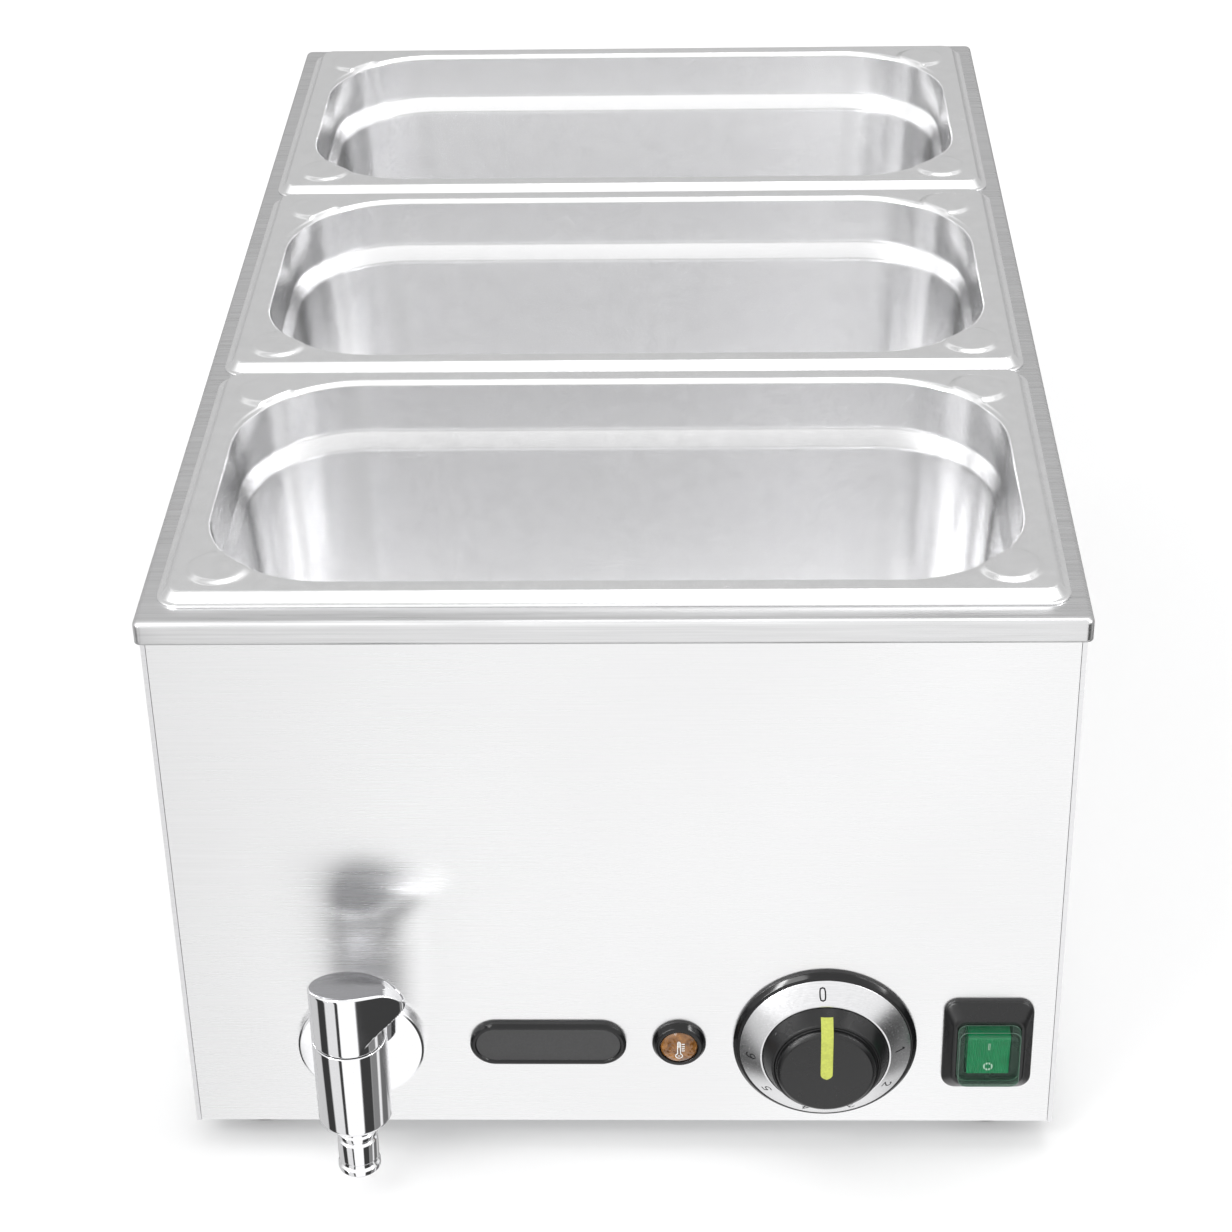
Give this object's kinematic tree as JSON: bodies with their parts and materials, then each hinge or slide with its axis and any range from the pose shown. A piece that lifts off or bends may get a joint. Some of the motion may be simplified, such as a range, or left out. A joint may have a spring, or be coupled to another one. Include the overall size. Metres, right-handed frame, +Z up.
{
  "type": "bain marie",
  "caption": "Counter-top wet-heat bain marie: a stainless steel well with lift-out food pans, drain tap with lever, thermostat dial, signal lamp and covered rocker switch.",
  "frame": {"origin": "on the surface the feet stand on, below the middle of the whole outline", "axes": "+X to the user's right, +Y from the front panel to the back, +Z up"},
  "size_m": [0.338, 0.594, 0.2493],
  "materials": {
    "deck_steel": "brushed",
    "tank_steel": "mill finish",
    "casing_steel": "brushed",
    "panel_steel": "brushed along the width",
    "pan_steel": "satin, polished rim",
    "galvanised_sheet": "galvanised",
    "tap_chrome": "polished",
    "dial_aluminium": "brushed",
    "brass_fitting": "turned",
    "zinc_fastener": "zinc plated",
    "foot_rubber": "matt",
    "seal_rubber": "matt",
    "black_plastic": "satin",
    "lime_plastic": "satin",
    "amber_lens": "faceted, translucent",
    "clear_cover": "clear flexible cover",
    "green_rocker": "ribbed, translucent",
    "white_plastic": "moulded",
    "ceramic_bead": "glazed",
    "insulation_fibre": "fibre blanket",
    "copper_bulb": "drawn",
    "wire_sleeve": "woven sleeve"
  },
  "bodies": {
    "casing": {"deck_plate": "deck_steel", "water_tank": "tank_steel", "casing_shell": "casing_steel", "front_panel": "panel_steel", "bottom_plate": "galvanised_sheet", "rubber_feet": "foot_rubber", "foot_screws": "zinc_fastener", "foot_nuts": "zinc_fastener", "casing_screws": "zinc_fastener", "tap_flange": "tap_chrome", "tap_gasket": "seal_rubber", "tap_body": "tap_chrome", "hose_nozzle": "tap_chrome", "tap_locknut": "brass_fitting", "drain_union_nut": "brass_fitting", "drain_pipe": "tank_steel", "packing_nut": "brass_fitting", "dial_bezel": "black_plastic", "dial_ring": "dial_aluminium", "thermostat_body": "galvanised_sheet", "thermostat_screws": "zinc_fastener", "lamp_bezel": "black_plastic", "lamp_lens": "amber_lens", "lamp_body": "white_plastic", "lamp_nut": "black_plastic", "switch_frame": "black_plastic", "switch_cover": "clear_cover", "switch_body": "black_plastic", "badge_plate": "black_plastic", "heating_element": "tank_steel", "element_terminals": "ceramic_bead", "element_clamps": "galvanised_sheet", "clamp_studs": "zinc_fastener", "clamp_nuts": "zinc_fastener", "shield_nuts": "zinc_fastener", "insulation_mat": "insulation_fibre", "heat_shield": "galvanised_sheet", "sensing_bulb": "copper_bulb", "bulb_clips": "galvanised_sheet", "capillary_tube": "copper_bulb", "overheat_cutout": "black_plastic", "terminal_block": "white_plastic", "earth_stud": "brass_fitting", "wiring_loom": "wire_sleeve", "cable_gland": "black_plastic", "gland_nut": "black_plastic"},
    "dial_knob": {"knob_cap": "black_plastic", "knob_pointer": "lime_plastic", "thermostat_shaft": "zinc_fastener", "knob_clip": "zinc_fastener"},
    "power_rocker": {"switch_rocker": "green_rocker"},
    "tap_lever": {"tap_handle": "tap_chrome", "handle_grub_screw": "zinc_fastener", "tap_spindle": "brass_fitting", "spindle_seals": "seal_rubber"},
    "front_pan": {"gn_pan_front": "pan_steel"},
    "middle_pan": {"gn_pan_middle": "pan_steel"},
    "rear_pan": {"gn_pan_rear": "pan_steel"}
  },
  "joints": [
    {"name": "thermostat_turn", "type": "hinge", "parent": "casing", "child": "dial_knob", "pos_m": [0.0782, -0.2525, 0.052], "axis": [0, 1, 0], "range_deg": [0, 270]},
    {"name": "rocker_tilt", "type": "hinge", "parent": "casing", "child": "power_rocker", "pos_m": [0.1402, -0.2505, 0.052], "axis": [-1, 0, 0], "range_deg": [0, 12]},
    {"name": "tap_turn", "type": "hinge", "parent": "casing", "child": "tap_lever", "pos_m": [-0.0996, -0.2825, 0.1], "axis": [0, 0, -1], "range_deg": [0, 90]},
    {"name": "front_pan_lift", "type": "slide", "parent": "casing", "child": "front_pan", "axis": [0, 0, 1], "range_m": [0, 0.2]},
    {"name": "middle_pan_lift", "type": "slide", "parent": "casing", "child": "middle_pan", "axis": [0, 0, 1], "range_m": [0, 0.2]},
    {"name": "rear_pan_lift", "type": "slide", "parent": "casing", "child": "rear_pan", "axis": [0, 0, 1], "range_m": [0, 0.2]}
  ]
}
